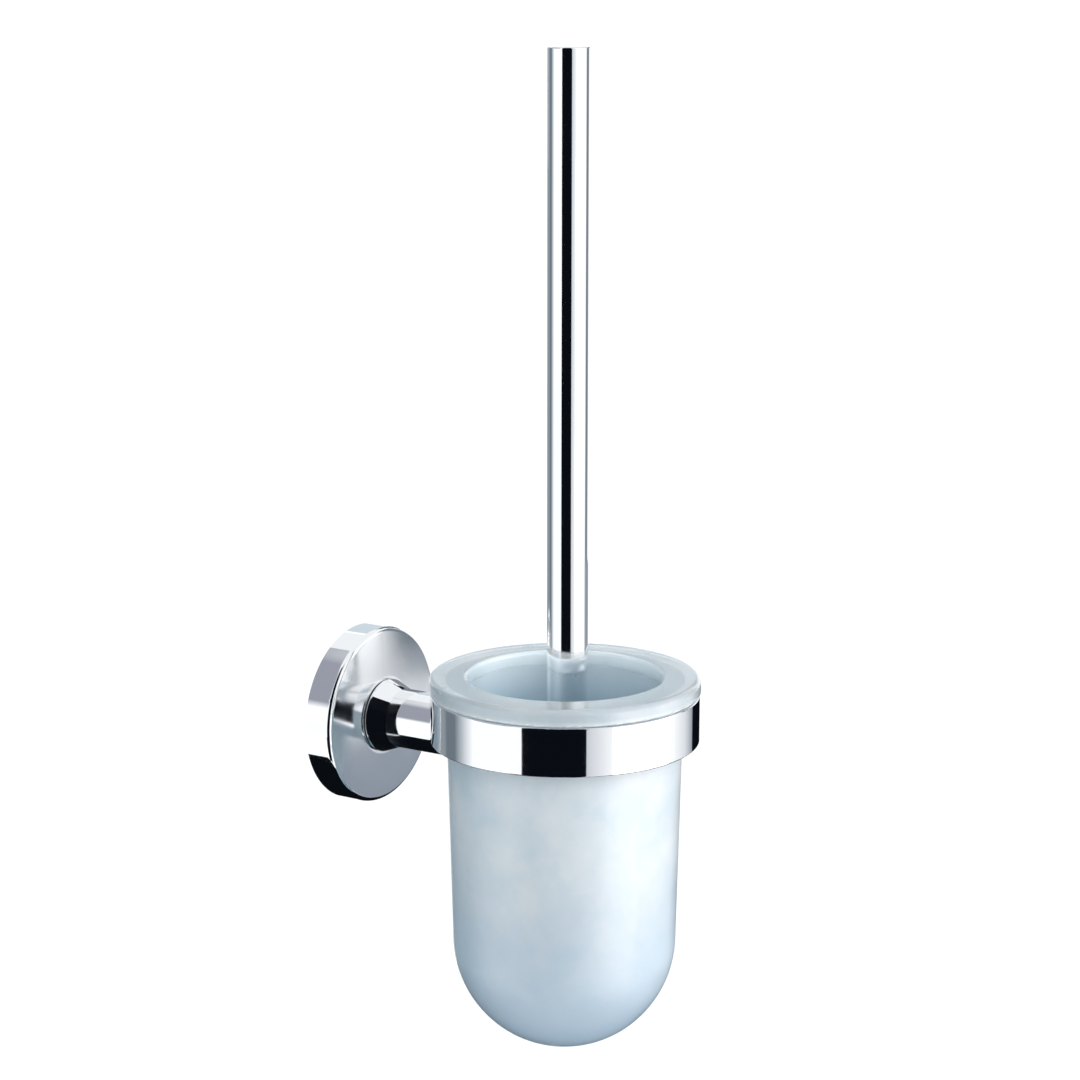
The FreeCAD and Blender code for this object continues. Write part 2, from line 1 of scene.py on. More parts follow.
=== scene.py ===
"""Looks of the wall-mounted toilet brush holder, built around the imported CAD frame.

Every object is in metres, in the CAD frame: +Z up, the wall plane at y = 0, the cup in front of it.
"""

import math
import random

import bmesh
import bpy
from mathutils import Matrix, Vector


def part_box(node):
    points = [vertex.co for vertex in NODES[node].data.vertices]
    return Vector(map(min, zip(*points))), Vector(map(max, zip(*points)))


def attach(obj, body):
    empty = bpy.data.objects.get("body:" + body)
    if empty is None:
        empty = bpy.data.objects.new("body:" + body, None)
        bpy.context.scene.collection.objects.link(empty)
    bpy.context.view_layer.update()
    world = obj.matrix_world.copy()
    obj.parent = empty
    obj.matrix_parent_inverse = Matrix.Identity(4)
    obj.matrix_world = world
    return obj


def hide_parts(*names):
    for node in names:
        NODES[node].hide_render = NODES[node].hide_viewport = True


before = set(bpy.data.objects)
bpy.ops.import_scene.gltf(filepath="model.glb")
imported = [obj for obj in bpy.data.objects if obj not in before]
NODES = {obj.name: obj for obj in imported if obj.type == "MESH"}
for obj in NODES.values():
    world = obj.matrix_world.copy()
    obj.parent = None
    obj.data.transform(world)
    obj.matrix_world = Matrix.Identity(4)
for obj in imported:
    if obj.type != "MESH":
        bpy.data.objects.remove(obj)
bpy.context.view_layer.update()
SCENE = bpy.context.scene
MM = 0.001
SEED = 7


def middle(node):
    """Centre of a CAD node's box."""
    low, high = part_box(node)
    return (low + high) / 2


RING_CENTRE = middle("holder_ring")
BRUSH_AXIS = middle("handle_tube")


# Camera and view ---------------------------------------------------------------------------------

CAMERA_TURN = math.radians(32.09)  # how far round from -X, along the wall, towards -Y, out from it
CAMERA_REACH = 0.900  # level distance from the ring's axis
CAMERA_RISE = 0.2535  # height above the ring's centre
AIM_OFFSET = Vector((0.0, 0.0109, 0.0652))  # from the ring's centre to the middle of the view
LENS = 83.72  # millimetres, as Blender's cameras count
SENSOR = 36.0
NEAREST = 0.01
FARTHEST = 100.0

TOWARDS_CAMERA = Vector((-math.cos(CAMERA_TURN), -math.sin(CAMERA_TURN), 0.0))


def make_camera():
    """A long lens, a little above the cup, looking down at it from the left and in front."""
    data = bpy.data.cameras.new("camera")
    data.lens = LENS
    data.sensor_width = SENSOR
    camera = bpy.data.objects.new("camera", data)
    SCENE.collection.objects.link(camera)
    camera.location = RING_CENTRE + TOWARDS_CAMERA * CAMERA_REACH + Vector((0, 0, CAMERA_RISE))
    view = RING_CENTRE + AIM_OFFSET - camera.location
    camera.rotation_mode = "QUATERNION"
    camera.rotation_quaternion = view.to_track_quat("-Z", "Y")
    data.clip_start = NEAREST
    data.clip_end = FARTHEST
    SCENE.camera = camera


# Stage: pale floor, white surroundings and soft panels -------------------------------------------

# Directions on the stage are level angles in degrees about the ring's axis: 0 is towards the camera,
# and positive is to its right. Heights are above the frame's origin.

WORLD_COLOUR = (0.965, 0.985, 1.0)
WORLD_STRENGTH = 1.13
WHITE = (1.0, 1.02, 1.04)  # a panel's radiance where it is to look like the surroundings
GLOW = "glow"  # the vertex colour that a panel glows with
DISC_SEGMENTS = 96

FLOOR_HEIGHT = -1.15
FLOOR_RADIUS = 9.0
FLOOR_ROUGHNESS = 0.7

PANEL_REACH = 2.0
PANEL_STEP = 2.0  # degrees, about, from one column of a panel's mesh to the next
LOW_PANEL_REACH = 1.0  # the low front panel stands closer than the others
OVERLAP_INSIDE = 0.05  # how far inside its neighbour a panel that covers part of it stands
OVERLAP_OUTSIDE = 0.02  # how far behind its neighbours the bright panel stands

UNDER_RADIUS = 1.7
UNDER_SHIFT = 0.8
UNDER_LIFT = 0.02
UNDER_GLOW = (0.003, 0.004, 0.006, 1.0)
CEILING_HEIGHT = 4.4
CEILING_RADIUS = 6.0
CEILING_GLOW = (0.93, 0.955, 0.975, 1.0)

FLAG_FIRST = -230
FLAG_LAST = -50
FLAG_STEP = 4
FLAG_REACH = 0.6
FLAG_HEIGHTS = (-0.50, 0.42)
FLAG_COLOUR = (0.03, 0.03, 0.03, 1.0)
FLAG_GLOW = (0.24, 0.40, 0.49, 1.0)


def mesh_object(name, builder):
    """A new object holding a bmesh that is made and freed here."""
    mesh = bpy.data.meshes.new(name)
    builder.to_mesh(mesh)
    builder.free()
    made = bpy.data.objects.new(name, mesh)
    SCENE.collection.objects.link(made)
    return made


def set_world():
    """Even white surroundings, which the chrome mirrors wherever no panel stands."""
    world = bpy.data.worlds.new("studio")
    world.use_nodes = True
    background = world.node_tree.nodes["Background"]
    background.inputs["Color"].default_value = (*WORLD_COLOUR, 1.0)
    background.inputs["Strength"].default_value = WORLD_STRENGTH
    SCENE.world = world
    SCENE.view_settings.view_transform = "Standard"  # so that white stays white


def make_floor():
    """Round pale floor, far enough below that any side of the object can be looked at."""
    builder = bmesh.new()
    bmesh.ops.create_circle(builder, cap_ends=True, segments=DISC_SEGMENTS, radius=FLOOR_RADIUS)
    floor = mesh_object("floor", builder)
    floor.location = (RING_CENTRE.x, RING_CENTRE.y, FLOOR_HEIGHT)
    material, tree, shader = new_material("pale_floor")
    shader.inputs["Roughness"].default_value = FLOOR_ROUGHNESS
    mottle = noise(tree, scale=3.0, detail=4.0)
    tint(tree, shader, mottle, (0.955, 0.96, 0.965), (0.975, 0.98, 0.985))
    floor.data.materials.append(material)


def direction(angle):
    """Level direction from the ring's axis at a stage angle."""
    return Matrix.Rotation(math.radians(angle), 3, "Z") @ TOWARDS_CAMERA


def join_columns(builder, columns):
    """Quads between neighbouring columns of vertices."""
    for left, right in zip(columns, columns[1:]):
        for row in range(len(left) - 1):
            builder.faces.new((left[row], right[row], right[row + 1], left[row + 1]))


def between(low, high):
    """The heights of a panel that has its own colour all the way up."""
    return [(low, 1), (high, 1)]


def panel(name, stops, heights, reach=PANEL_REACH):
    """A glowing curved panel about the ring's axis, which only the chrome mirrors.

    stops are pairs of an angle and a radiance colour; colours run evenly from one to the next.
    heights are pairs of a height and the panel's strength there, from 0, WHITE, to 1, its own colour.
    """
    builder = bmesh.new()
    layer = builder.verts.layers.float_color.new(GLOW)
    columns = []
    for (first, first_glow), (last, last_glow) in zip(stops, stops[1:]):
        steps = max(1, round(abs(last - first) / PANEL_STEP))
        for step in range(steps + 1):
            share = step / steps
            own_glow = Vector(first_glow).lerp(Vector(last_glow), share)
            spot = direction(first + (last - first) * share) * reach
            column = []
            for height, strength in heights:
                vert = builder.verts.new((spot.x, spot.y, height))
                vert[layer] = (*Vector(WHITE).lerp(own_glow, strength), 1.0)
                column.append(vert)
            columns.append(column)
    join_columns(builder, columns)
    made = mesh_object(name, builder)
    made.location = (RING_CENTRE.x, RING_CENTRE.y, 0.0)
    only_in_reflections(made)


def only_in_reflections(made):
    """Let the chrome mirror a stage piece in its own glow; it neither lights nor shades the rest."""
    material = bpy.data.materials.new(made.name)
    material.use_nodes = True
    tree = material.node_tree
    tree.nodes.remove(tree.nodes["Principled BSDF"])
    emission = tree.nodes.new("ShaderNodeEmission")
    colour = tree.nodes.new("ShaderNodeAttribute")
    colour.attribute_name = GLOW
    tree.links.new(colour.outputs["Color"], emission.inputs["Color"])
    tree.links.new(emission.outputs["Emission"], tree.nodes["Material Output"].inputs["Surface"])
    made.data.materials.append(material)
    made.visible_camera = False
    made.visible_diffuse = False
    made.visible_transmission = False
    made.visible_shadow = False


def make_panels():
    """Dark, grey and bright panels that draw the long stripes on the chrome."""
    black = (0.003, 0.004, 0.007)
    shade = (0.62, 0.65, 0.70)
    pearl = (0.76, 0.79, 0.83)
    pewter = (0.46, 0.51, 0.55)
    slate = (0.27, 0.31, 0.34)
    blue_grey = (0.155, 0.19, 0.225)
    lilac = (0.33, 0.35, 0.41)
    ash = (0.30, 0.33, 0.37)
    dusk = (0.27, 0.31, 0.37)
    steel_blue = (0.64, 0.73, 0.79)
    bright = (3.4, 3.3, 3.2)
    side_top = 1.1
    right_middle = (-0.47, -0.36)  # a band of its own between the lower and the upper right panels

    panel("panel_front", [(-36, black), (18, black)], between(FLOOR_HEIGHT, 4.2))
    panel("panel_front_low", [(-48, black), (18, black)], between(FLOOR_HEIGHT, -0.34), LOW_PANEL_REACH)
    panel("panel_front_fade", [(18, shade), (41, WHITE)], between(FLOOR_HEIGHT, 2.0))
    panel("panel_left", [(-164, slate), (-123, slate), (-118, blue_grey), (-106, blue_grey),
                         (-97, pewter), (-90, pearl), (-84, WHITE)], between(FLOOR_HEIGHT, side_top))
    panel("panel_left_high", [(-132, lilac), (-48, lilac)], [(0.38, 0), (0.6, 1), (2.4, 1), (3.3, 0)])
    panel("panel_right_grey", [(106, WHITE), (122, pearl), (138, ash)],
          between(FLOOR_HEIGHT, right_middle[0]))
    panel("panel_right_black", [(138, black), (172, black)], between(FLOOR_HEIGHT, right_middle[0]))
    panel("panel_right_ash", [(106, WHITE), (118, ash), (164, ash)], between(*right_middle))
    panel("panel_right_high", [(110, WHITE), (116, blue_grey), (142, ash)],
          between(right_middle[1], side_top))
    panel("panel_right_low", [(78, dusk), (132, dusk)], between(FLOOR_HEIGHT, -0.61),
          PANEL_REACH - OVERLAP_INSIDE)
    panel("panel_back_black", [(150, black), (172, black)], between(0.5, 1.7))
    panel("panel_back", [(172, steel_blue), (222, steel_blue)], between(0.1, 1.3))
    panel("panel_bright", [(41, bright), (98, bright)], between(-0.9, 0.1), PANEL_REACH + OVERLAP_OUTSIDE)


def soft_light(name, angle, height, reach, size, power):
    """A large soft light aimed at the ring's centre, which the chrome doesn't mirror."""
    data = bpy.data.lights.new(name, "AREA")
    data.shape = "SQUARE"
    data.size = size
    data.energy = power
    lamp = bpy.data.objects.new(name, data)
    SCENE.collection.objects.link(lamp)
    lamp.location = RING_CENTRE + direction(angle) * reach + Vector((0, 0, height))
    lamp.rotation_mode = "QUATERNION"
    lamp.rotation_quaternion = (RING_CENTRE - lamp.location).to_track_quat("-Z", "Y")
    lamp.visible_camera = False
    lamp.visible_glossy = False


def make_lights():
    """A key light from the right, and a weaker one from in front and above."""
    soft_light("key_light", angle=90.0, height=0.4, reach=1.6, size=1.2, power=26.0)
    soft_light("top_light", angle=5.0, height=0.95, reach=1.25, size=1.0, power=7.5)


def make_flag():
    """A dim bluish screen to the left and behind, between the white surroundings and the object.

    Diffuse and shadow rays meet it, so it shades the glass; the chrome doesn't mirror it.
    """
    builder = bmesh.new()
    columns = []
    for angle in range(FLAG_FIRST, FLAG_LAST + 1, FLAG_STEP):
        spot = direction(angle) * FLAG_REACH
        columns.append([builder.verts.new((spot.x, spot.y, height)) for height in FLAG_HEIGHTS])
    join_columns(builder, columns)
    made = mesh_object("flag", builder)
    made.location = (RING_CENTRE.x, RING_CENTRE.y, 0.0)
    material, _, shader = new_material("flag")
    shader.inputs["Base Color"].default_value = FLAG_COLOUR
    shader.inputs["Emission Color"].default_value = FLAG_GLOW
    shader.inputs["Emission Strength"].default_value = 1.0
    made.data.materials.append(material)
    made.visible_camera = False
    made.visible_glossy = False
    made.visible_transmission = False


def make_ceiling():
    """A soft white disc high above, a little greyer than the surroundings, that the tops mirror."""
    reflected_disc("panel_ceiling", CEILING_RADIUS, CEILING_GLOW, Vector((0.0, 0.0, CEILING_HEIGHT)))


def make_dark_under():
    """Dark disc just above the floor, below and behind, that the undersides mirror."""
    place = Vector((0.0, 0.0, FLOOR_HEIGHT + UNDER_LIFT)) - TOWARDS_CAMERA * UNDER_SHIFT
    reflected_disc("panel_under", UNDER_RADIUS, UNDER_GLOW, place)


def reflected_disc(name, radius, glow, place):
    """A level disc, placed from the ring's axis, that only the chrome mirrors."""
    builder = bmesh.new()
    bmesh.ops.create_circle(builder, cap_ends=True, segments=DISC_SEGMENTS, radius=radius)
    layer = builder.verts.layers.float_color.new(GLOW)
    for vert in builder.verts:
        vert[layer] = glow
    made = mesh_object(name, builder)
    made.location = Vector((RING_CENTRE.x, RING_CENTRE.y, 0.0)) + place
    only_in_reflections(made)


# Material helpers --------------------------------------------------------------------------------


def new_material(name):
    """A material with its node tree and its Principled shader."""
    material = bpy.data.materials.new(name)
    material.use_nodes = True
    tree = material.node_tree
    return material, tree, tree.nodes["Principled BSDF"]


def coordinates(tree):
    """Object coordinates: metres in the CAD frame."""
    found = tree.nodes.get("Texture Coordinate")
    return (found or tree.nodes.new("ShaderNodeTexCoord")).outputs["Object"]


def stretched(tree, stretch):
    """Object coordinates, stretched along the axes."""
    mapping = tree.nodes.new("ShaderNodeMapping")
    mapping.inputs["Scale"].default_value = stretch
    tree.links.new(coordinates(tree), mapping.inputs["Vector"])
    return mapping.outputs["Vector"]


def noise(tree, scale, detail=2.0, roughness=0.5, stretch=None):
    """A noise texture's factor; scale counts features per metre."""
    made = tree.nodes.new("ShaderNodeTexNoise")
    made.inputs["Scale"].default_value = scale
    made.inputs["Detail"].default_value = detail
    made.inputs["Roughness"].default_value = roughness
    vector = stretched(tree, stretch) if stretch else coordinates(tree)
    tree.links.new(vector, made.inputs["Vector"])
    return made.outputs["Fac"]


def ranged(tree, factor, low, high, start=0.3, stop=0.7):
    """A factor from start to stop taken to low to high."""
    made = tree.nodes.new("ShaderNodeMapRange")
    made.inputs["From Min"].default_value = start
    made.inputs["From Max"].default_value = stop
    made.inputs["To Min"].default_value = low
    made.inputs["To Max"].default_value = high
    tree.links.new(factor, made.inputs["Value"])
    return made.outputs["Result"]


def multiplied(tree, first, second):
    """The product of two factors."""
    made = tree.nodes.new("ShaderNodeMath")
    made.operation = "MULTIPLY"
    tree.links.new(first, made.inputs[0])
    tree.links.new(second, made.inputs[1])
    return made.outputs["Value"]


def mixed_value(tree, factor, first, last):
    """A value between two others, by a factor."""
    made = tree.nodes.new("ShaderNodeMix")
    tree.links.new(factor, made.inputs["Factor"])
    tree.links.new(first, made.inputs["A"])
    tree.links.new(last, made.inputs["B"])
    return made.outputs["Result"]


def mixed(tree, factor, first, last):
    """A colour between two, each a colour or a socket, by a factor."""
    made = tree.nodes.new("ShaderNodeMix")
    made.data_type = "RGBA"
    tree.links.new(factor, made.inputs["Factor"])
    for socket, colour in ((made.inputs["A"], first), (made.inputs["B"], last)):
        if isinstance(colour, tuple):
            socket.default_value = (*colour, 1.0)
        else:
            tree.links.new(colour, socket)
    return made.outputs["Result"]


def along(tree, axis):
    """The X, Y or Z coordinate in the CAD frame, in metres."""
    place = tree.nodes.new("ShaderNodeSeparateXYZ")
    tree.links.new(coordinates(tree), place.inputs["Vector"])
    return place.outputs[axis]


def axis_distance(tree, centre):
    """Level distance from an upright axis, in metres."""
    level = tree.nodes.new("ShaderNodeVectorMath")
    level.operation = "MULTIPLY_ADD"
    level.inputs[1].default_value = (1.0, 1.0, 0.0)
    level.inputs[2].default_value = (-centre.x, -centre.y, 0.0)
    tree.links.new(coordinates(tree), level.inputs[0])
    length = tree.nodes.new("ShaderNodeVectorMath")
    length.operation = "LENGTH"
    tree.links.new(level.outputs["Vector"], length.inputs[0])
    return length.outputs["Value"]


def tint(tree, shader, factor, first, last):
    """Base colour that varies between two colours by a factor."""
    tree.links.new(mixed(tree, factor, first, last), shader.inputs["Base Color"])


def rough(tree, shader, factor, low, high):
    """Roughness that varies by a factor."""
    tree.links.new(ranged(tree, factor, low, high), shader.inputs["Roughness"])


def bump(tree, shader, factors):
    """Bump from pairs of a factor and its depth in metres."""
    normal = None
    for factor, depth in factors:
        made = tree.nodes.new("ShaderNodeBump")
        made.inputs["Strength"].default_value = 1.0
        made.inputs["Distance"].default_value = depth
        tree.links.new(factor, made.inputs["Height"])
        if normal is not None:
            tree.links.new(normal, made.inputs["Normal"])
        normal = made.outputs["Normal"]
    tree.links.new(normal, shader.inputs["Normal"])


# Materials ---------------------------------------------------------------------------------------


def chrome_material(name):
    """Mirror chrome plate with faint smudges and a hardly visible waviness of the plating."""
    material, tree, shader = new_material(name)
    shader.inputs["Metallic"].default_value = 1.0
    smudge = noise(tree, scale=38.0, detail=5.0, roughness=0.62)
    haze = noise(tree, scale=9.0, detail=2.0)
    tint(tree, shader, haze, (0.915, 0.922, 0.934), (0.945, 0.95, 0.958))
    rough(tree, shader, smudge, 0.025, 0.075)
    waviness = noise(tree, scale=55.0, detail=1.0)
    bump(tree, shader, [(waviness, 0.02 * MM)])
    return material


BUFFED_DEPTH = 0.6 * MM  # how far back from the rosette's foremost point the face is fully buffed
BUFFED_FADE = 1.0 * MM  # how much further back the buffing fades out


def buffed_chrome_material():
    """The same chrome with a softly buffed face, where mirror images are blurred."""
    material = chrome_material("buffed_chrome")
    tree = material.node_tree
    shader = tree.nodes["Principled BSDF"]
    mirror = shader.inputs["Roughness"].links[0].from_socket
    buffed = ranged(tree, noise(tree, scale=60.0, detail=4.0), 0.12, 0.17)
    fade_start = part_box("rosette_cover")[0].y + BUFFED_DEPTH
    on_face = ranged(tree, along(tree, "Y"), 1.0, 0.0, fade_start, fade_start + BUFFED_FADE)
    tree.links.new(mixed_value(tree, on_face, mirror, buffed), shader.inputs["Roughness"])
    return material


def satin_steel_material(name, first, last, base_roughness):
    """Plated or blackened steel with fine grain and a soft, uneven sheen."""
    material, tree, shader = new_material(name)
    shader.inputs["Metallic"].default_value = 1.0
    cloud = noise(tree, scale=240.0, detail=6.0, roughness=0.6)
    grain = noise(tree, scale=2600.0, detail=3.0)
    tint(tree, shader, cloud, first, last)
    rough(tree, shader, cloud, base_roughness - 0.06, base_roughness + 0.10)
    bump(tree, shader, [(grain, 0.02 * MM), (cloud, 0.04 * MM)])
    return material


def brass_material():
    """Turned brass, streaked round by the tool."""
    material, tree, shader = new_material("turned_brass")
    shader.inputs["Metallic"].default_value = 1.0
    lathe = noise(tree, scale=900.0, detail=2.0, stretch=(0.05, 0.05, 1.0))
    tint(tree, shader, lathe, (0.70, 0.52, 0.24), (0.83, 0.67, 0.36))
    rough(tree, shader, lathe, 0.20, 0.34)
    bump(tree, shader, [(lathe, 0.02 * MM)])
    return material


# Heights and radii of the cup where its finish and its painted shade change: pairs of where a change
# starts and ends.
BOTTOM_SHADE_SPAN = (0.0, 80 * MM)  # up from the cup's lowest point: over this span the painted shade at the bottom fades out
INSIDE_SHADE_SPAN = (36 * MM, 2 * MM)  # down from the flange's top, inside: over this span the painted light at the mouth turns to painted shade
INNER_WALL = (36.4 * MM, 38.0 * MM)  # out from the axis
HOLLOW_BOTTOM = (100 * MM, 85 * MM)  # down from the ring's centre
FLANGE_BOTTOM = (8 * MM, 4 * MM)  # down from the flange's top


def frosted_glass_material():
    """Pressed glass, sandblasted all over: milky, bluish, and cloudy where the blast was uneven.

    Painted shade makes the glass darker and bluer towards its round bottom and deep inside, below a
    painted lighter band just under the mouth; it is smoother and clearer in the flange.
    """
    material, tree, shader = new_material("frosted_glass")
    low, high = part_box("glass_cup")
    cloud = noise(tree, scale=44.0, detail=6.0, roughness=0.6)
    blast = noise(tree, scale=5200.0, detail=2.0)
    orange_peel = noise(tree, scale=420.0, detail=3.0)
    height = along(tree, "Z")

    bottom_start, bottom_stop = (low.z + rise for rise in BOTTOM_SHADE_SPAN)
    deep_start, deep_stop = (high.z - drop for drop in INSIDE_SHADE_SPAN)
    hollow_start, hollow_stop = (RING_CENTRE.z - drop for drop in HOLLOW_BOTTOM)
    flange_start, flange_stop = (high.z - drop for drop in FLANGE_BOTTOM)

    milky = mixed(tree, ranged(tree, cloud, 0.0, 1.0), (0.73, 0.815, 0.865), (0.96, 0.955, 0.95))
    # Painted shade: the outside turns darker and bluer towards the cup's bottom.
    bottom_shade = ranged(tree, height, 0.9, 0.0, bottom_start, bottom_stop)
    outside = mixed(tree, bottom_shade, milky, (0.46, 0.63, 0.78))
    # Painted light and shade inside: pale just under the mouth, dark blue painted shade deeper down.
    depth = ranged(tree, height, 1.0, 0.0, deep_start, deep_stop)
    inside = mixed(tree, depth, (0.76, 0.86, 0.91), (0.19, 0.39, 0.53))
    is_mouth = ranged(tree, axis_distance(tree, RING_CENTRE), 1.0, 0.0, *INNER_WALL)
    above_bottom = ranged(tree, height, 0.0, 1.0, hollow_start, hollow_stop)
    is_inside = multiplied(tree, is_mouth, above_bottom)
    tree.links.new(mixed(tree, is_inside, outside, inside), shader.inputs["Base Color"])

    is_flange = ranged(tree, height, 0.0, 1.0, flange_start, flange_stop)
    body_frosting = ranged(tree, cloud, 0.32, 0.48)
    flange_frosting = ranged(tree, cloud, 0.14, 0.24)
    frosting = mixed_value(tree, is_flange, body_frosting, flange_frosting)
    tree.links.new(frosting, shader.inputs["Roughness"])
    bump(tree, shader, [(orange_peel, 0.05 * MM), (blast, 0.01 * MM)])

    shader.inputs["IOR"].default_value = 1.5
    shader.inputs["Coat Weight"].default_value = 0.6
    shader.inputs["Coat Roughness"].default_value = 0.15
    outer_clearness = ranged(tree, is_flange, 0.48, 0.68, 0.0, 1.0)
    inner_share = ranged(tree, is_inside, 1.0, 0.55, 0.0, 1.0)
    clearness = multiplied(tree, outer_clearness, inner_share)
    tree.links.new(clearness, shader.inputs["Transmission Weight"])
    return material


def milky_plastic_material():
    """Soft natural plastic, a little hazy and uneven; its grey is partly painted shade, made darker so
    that the lip under the glass's flange reads as a shaded seam.
    """
    material, tree, shader = new_material("milky_plastic")
    haze = noise(tree, scale=160.0, detail=4.0)
    # The plastic's own tone, darkened as painted shade for the seam under the flange.
    tint(tree, shader, haze, (0.56, 0.61, 0.64), (0.66, 0.71, 0.74))
    rough(tree, shader, haze, 0.22, 0.38)
    skin = noise(tree, scale=1400.0)
    bump(tree, shader, [(skin, 0.01 * MM)])
    return material


def rubber_material():
    """Matte black rubber with a fine cast texture."""
    material, tree, shader = new_material("black_rubber")
    speckle = noise(tree, scale=1800.0, detail=4.0, roughness=0.7)
    tint(tree, shader, speckle, (0.018, 0.018, 0.019), (0.045, 0.045, 0.047))
    rough(tree, shader, speckle, 0.62, 0.80)
    bump(tree, shader, [(speckle, 0.04 * MM)])
    return material


def white_plastic_material():
    """Moulded white plastic with a satin skin."""
    material, tree, shader = new_material("white_plastic")
    cloud = noise(tree, scale=90.0, detail=3.0)
    skin = noise(tree, scale=2200.0, detail=3.0)
    tint(tree, shader, cloud, (0.47, 0.48, 0.48), (0.54, 0.545, 0.54))
    rough(tree, shader, skin, 0.34, 0.46)
    bump(tree, shader, [(skin, 0.02 * MM)])
    shader.inputs["Subsurface Weight"].default_value = 0.15
    shader.inputs["Subsurface Radius"].default_value = (2 * MM, 2 * MM, 2 * MM)
    shader.inputs["Subsurface Scale"].default_value = 1.0
    return material


def bristle_material():
    """White nylon filaments, slightly different from tuft to tuft."""
    material, tree, shader = new_material("nylon_bristle")
    tone = noise(tree, scale=210.0, detail=3.0)
    tint(tree, shader, tone, (0.66, 0.68, 0.69), (0.80, 0.81, 0.81))
    rough(tree, shader, noise(tree, scale=1500.0), 0.34, 0.50)
    shader.inputs["Sheen Weight"].default_value = 0.15
    return material


# Brush head --------------------------------------------------------------------------------------

CORE_RADIUS = 9.0 * MM
HEAD_RADIUS = 33.0 * MM
HEAD_SHOULDER = 9.0 * MM  # radius of the head's rounded upper edge
ROUND_END_RISE = 31.7 * MM  # from the bristles' lowest point to the centre of their round lower end

TUFT_ROWS = 19
TUFTS_AROUND = 26
FEWEST_AROUND = 12
POLE_SHARE = 0.35  # share of TUFTS_AROUND that a row pointing straight down would have
TUFT_RADIUS = 1.25 * MM
TUFT_TURN = 0.03  # most that a tuft is turned out of its row's even spacing, in radians
TUFT_RISE = 0.6 * MM  # most that a tuft's tips stand above or below their row
TUFT_SWAY = 0.8 * MM  # most that they stand aside
LOWEST_FAN = math.radians(72.0)  # how far below level the fan of rows reaches
SHOULDER_TURN = math.radians(80.0)  # how much of the shoulder's quarter round the rows cover
ROOTS_ABOVE = 2.5 * MM  # from the bristles' lowest point to the lowest roots
ROOTS_BELOW = 2.0 * MM  # from the bristles' highest point to the highest roots
ROOT_SINK = 0.3 * MM  # how deep the roots stand in the core

FILAMENTS_PER_TUFT = 15
FILAMENT_SIDES = 3
FILAMENT_RADIUS = 0.24 * MM
FILAMENT_SHAPE = ((0.0, 1.0), (0.55, 0.95), (1.0, 0.55))  # share of the length, share of the radius
FILAMENT_BOW = 0.35 * MM  # standard deviation
FILAMENT_INSET = 0.5 * MM  # how far inside the head's outline the tips are kept
ROOT_GATHER = 0.55  # a tuft's radius at its root, as a share of TUFT_RADIUS
FLARE = 60.0  # how many of its radii a tuft widens by, per metre of its length
SHORTEST_SHARE = 0.955  # length of the shortest filaments, as a share of the full length
UP = Vector((0, 0, 1))


def filament(builder, root, tip, bend):
    """One bristle: a thin rod from root to tip, bowed sideways by bend."""
    course = (tip - root).normalized()
    side = course.orthogonal().normalized()
    other = course.cross(side)
    rings = []
    for share, thickness in FILAMENT_SHAPE:
        centre = root.lerp(tip, share) + bend * (4 * share * (1 - share))
        ring = []
        for corner in range(FILAMENT_SIDES):
            angle = math.tau * corner / FILAMENT_SIDES
            offset = (side * math.cos(angle) + other * math.sin(angle)) * FILAMENT_RADIUS * thickness
            ring.append(builder.verts.new(centre + offset))
        rings.append(ring)
    for lower, upper in zip(rings, rings[1:]):
        for corner in range(FILAMENT_SIDES):
            after = (corner + 1) % FILAMENT_SIDES
            builder.faces.new((lower[corner], lower[after], upper[after], upper[corner]))
    builder.faces.new(reversed(rings[0]))
    builder.faces.new(rings[-1])


def outline_point(walked, centre, top):
    """Where the head's outline is, this far up it: its radius, its height and the tufts around it."""
    arc = HEAD_RADIUS * LOWEST_FAN
    straight = top - HEAD_SHOULDER - centre.z
    if walked < arc:
        fan = LOWEST_FAN * (1 - walked / arc)
        around = max(FEWEST_AROUND, round(TUFTS_AROUND * (POLE_SHARE + (1 - POLE_SHARE) * math.cos(fan))))
        return HEAD_RADIUS * math.cos(fan), centre.z - HEAD_RADIUS * math.sin(fan), around
    if walked < arc + straight:
        return HEAD_RADIUS, centre.z + walked - arc, TUFTS_AROUND
    lift = (walked - arc - straight) / HEAD_SHOULDER
    radius = HEAD_RADIUS - HEAD_SHOULDER * (1 - math.cos(lift))
    return radius, top - HEAD_SHOULDER * (1 - math.sin(lift)), TUFTS_AROUND


def tuft_filaments(builder, rng, root, tip, sideways, centre, top):
    """A tuft's filaments, gathered at the root and spread at the tip."""
    reach = (tip - root).length
    lean = Vector((0.0, 0.0, rng.uniform(-TUFT_RISE, TUFT_RISE)))
    lean += sideways * rng.uniform(-TUFT_SWAY, TUFT_SWAY)
    for _ in range(FILAMENTS_PER_TUFT):
        spin = rng.uniform(0.0, math.tau)
        spread = TUFT_RADIUS * math.sqrt(rng.random())
        off = sideways * math.cos(spin) + UP * math.sin(spin)
        start = root + off * spread * ROOT_GATHER
        end = tip + off * spread * (1.0 + FLARE * reach) + lean
        end = start.lerp(end, rng.uniform(SHORTEST_SHARE, 1.0))
        end = kept_inside(end, centre, top)
        bow = sideways * rng.gauss(0, FILAMENT_BOW) + UP * rng.gauss(0, FILAMENT_BOW)
        filament(builder, start, end, bow)


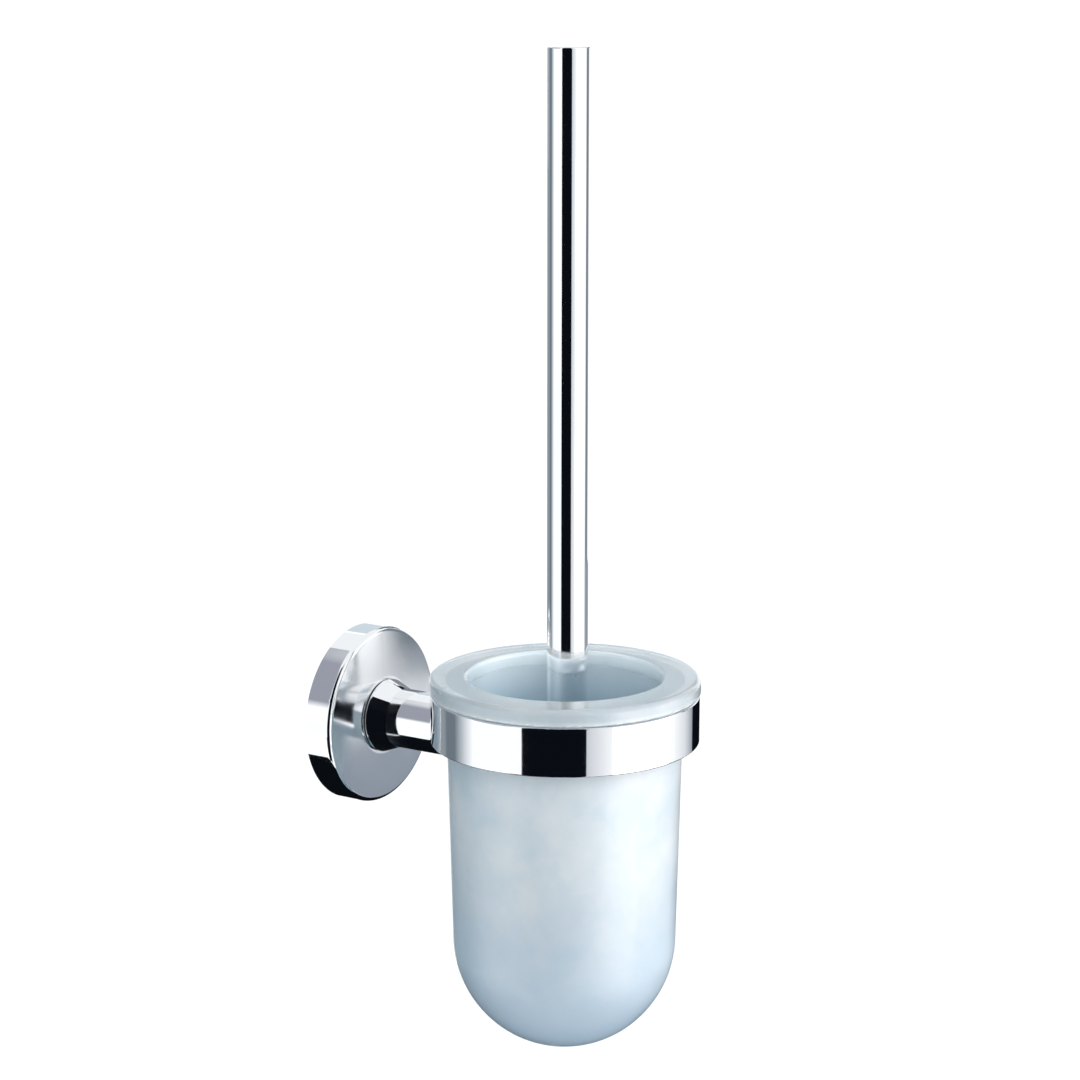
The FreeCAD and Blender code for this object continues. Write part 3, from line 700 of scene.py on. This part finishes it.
def make_bristles():
    """Tufts set round the core in staggered rows, fanned over the round lower end."""
    low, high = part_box("brush_bristles")
    centre = Vector((BRUSH_AXIS.x, BRUSH_AXIS.y, low.z + ROUND_END_RISE))
    straight = high.z - HEAD_SHOULDER - centre.z
    outline = straight + HEAD_RADIUS * LOWEST_FAN + HEAD_SHOULDER * SHOULDER_TURN
    lowest_root = low.z + ROOTS_ABOVE
    highest_root = high.z - ROOTS_BELOW
    rng = random.Random(SEED)
    builder = bmesh.new()
    for row in range(TUFT_ROWS):
        share = (row + 0.5) / TUFT_ROWS
        tip_radius, tip_height, around = outline_point(share * outline, centre, high.z)
        root_height = lowest_root + (highest_root - lowest_root) * share
        for tuft in range(around):
            turn = math.tau * (tuft + 0.5 * (row % 2)) / around + rng.uniform(-TUFT_TURN, TUFT_TURN)
            outward = Vector((math.cos(turn), math.sin(turn), 0.0))
            sideways = Vector((-math.sin(turn), math.cos(turn), 0.0))
            root = Vector((centre.x, centre.y, root_height)) + outward * (CORE_RADIUS - ROOT_SINK)
            tip = Vector((centre.x, centre.y, tip_height)) + outward * tip_radius
            tuft_filaments(builder, rng, root, tip, sideways, centre, high.z)
    made = mesh_object("bristle_tufts", builder)
    made.data.materials.append(bristle_material())
    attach(made, "brush")
    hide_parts("brush_bristles")


def kept_inside(tip, centre, top):
    """The point pulled back, where it must be, to just inside the head's outline."""
    level = Vector((tip.x - centre.x, tip.y - centre.y, 0.0))
    limit = HEAD_RADIUS - FILAMENT_INSET
    height = min(tip.z, top - FILAMENT_INSET)
    if height < centre.z:
        limit = math.sqrt(max(limit**2 - (centre.z - height) ** 2, 0.0))
    elif height > top - HEAD_SHOULDER:
        rise = min(1.0, (height - top + HEAD_SHOULDER) / HEAD_SHOULDER)
        limit = limit - HEAD_SHOULDER * (1 - math.sqrt(max(1 - rise**2, 0.0)))
    if level.length > limit:
        level = level.normalized() * max(limit, CORE_RADIUS)
    return Vector((centre.x + level.x, centre.y + level.y, height))


# Putting it together -----------------------------------------------------------------------------


def paint(node, material):
    """Give a CAD node its material."""
    slots = NODES[node].data.materials
    slots.clear()
    slots.append(material)


make_camera()
set_world()
make_floor()
make_panels()
make_ceiling()
make_dark_under()
make_lights()
make_flag()
make_bristles()

CHROME = chrome_material("polished_chrome")
STEEL = satin_steel_material("zinc_steel", (0.50, 0.52, 0.54), (0.64, 0.65, 0.66), 0.32)
BLACK_STEEL = satin_steel_material("black_oxide_steel", (0.05, 0.05, 0.055), (0.10, 0.10, 0.11), 0.40)
RUBBER = rubber_material()
PLASTIC = white_plastic_material()

FINISHES = {
    "wall_plate": STEEL,
    "mounting_socket": STEEL,
    "rosette_cover": buffed_chrome_material(),
    "set_screw": BLACK_STEEL,
    # Black rubber for the seat washer; its black is partly painted shade, drawing the dark line round the
    # arm's foot.
    "arm_seat_washer": RUBBER,
    "bracket_arm": CHROME,
    "arm_screw": STEEL,
    "arm_screw_washer": STEEL,
    "holder_ring": CHROME,
    "ring_screws": STEEL,
    "ring_liner": milky_plastic_material(),
    "glass_cup": frosted_glass_material(),
    "handle_tube": CHROME,
    "handle_top_cap": CHROME,
    "handle_insert": brass_material(),
    "handle_seal": RUBBER,
    "head_stud": STEEL,
    "head_collar": PLASTIC,
    "brush_core": PLASTIC,
}
for node_name, finish in FINISHES.items():
    paint(node_name, finish)
